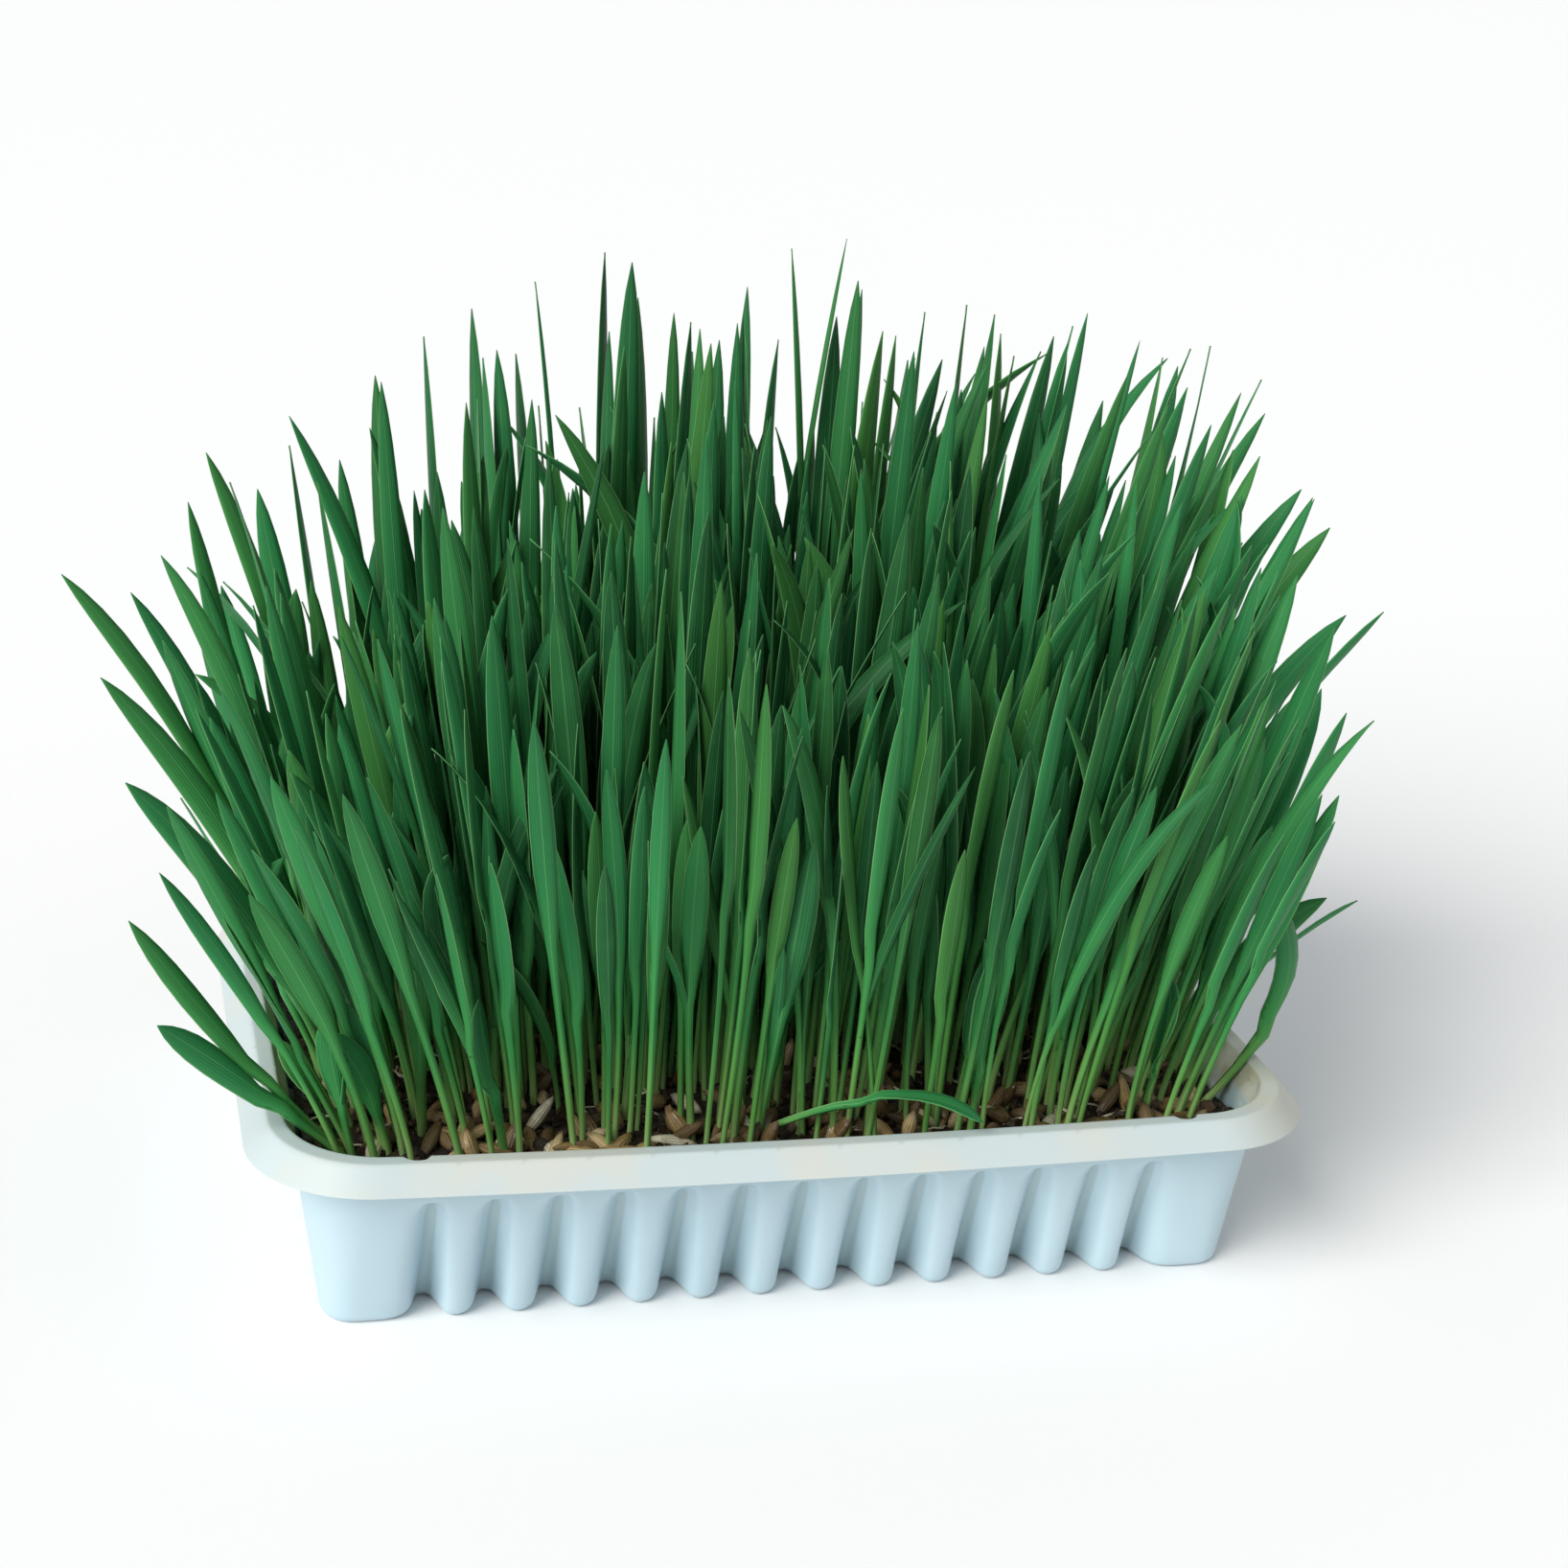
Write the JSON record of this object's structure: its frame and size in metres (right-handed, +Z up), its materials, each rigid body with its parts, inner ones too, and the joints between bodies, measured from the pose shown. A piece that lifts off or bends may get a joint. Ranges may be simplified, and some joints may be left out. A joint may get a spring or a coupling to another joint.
{
  "type": "tray of wheatgrass",
  "caption": "Tray of growing wheatgrass: dense upright grass blades with husked grain on dark soil in a fluted white plastic tray with a flared rim.",
  "frame": {"origin": "middle of the tray's base, on the surface that it stands on", "axes": "+Z up, +X along the tray's long side to the right, -Y towards the viewer"},
  "size_m": [0.246, 0.131, 0.1652],
  "materials": {
    "white_plastic": "satin white thermoformed sheet, slightly cool",
    "soil": "moist dark potting soil with tan husked grain",
    "grass": "satin green leaf, paler at the stem"
  },
  "bodies": {
    "root": {"tray": "white_plastic", "soil": "soil", "grass_clump_01": "grass", "grass_clump_02": "grass", "grass_clump_03": "grass", "grass_clump_04": "grass", "grass_clump_05": "grass", "grass_clump_06": "grass", "grass_clump_07": "grass", "grass_clump_08": "grass", "grass_clump_09": "grass", "grass_clump_10": "grass", "grass_clump_11": "grass", "grass_clump_12": "grass", "grass_clump_13": "grass", "grass_clump_14": "grass", "grass_clump_15": "grass", "grass_clump_16": "grass", "grass_clump_17": "grass", "grass_clump_18": "grass", "grass_clump_19": "grass", "grass_clump_20": "grass", "grass_clump_21": "grass", "grass_clump_22": "grass", "grass_clump_23": "grass", "grass_clump_24": "grass", "grass_clump_25": "grass", "grass_clump_26": "grass", "grass_clump_27": "grass", "grass_clump_28": "grass", "grass_clump_29": "grass", "grass_clump_30": "grass", "grass_clump_31": "grass", "grass_clump_32": "grass", "grass_clump_33": "grass", "grass_clump_34": "grass", "grass_clump_35": "grass", "grass_clump_36": "grass", "grass_clump_37": "grass", "grass_clump_38": "grass", "grass_clump_39": "grass", "grass_clump_40": "grass"}
  },
  "joints": []
}
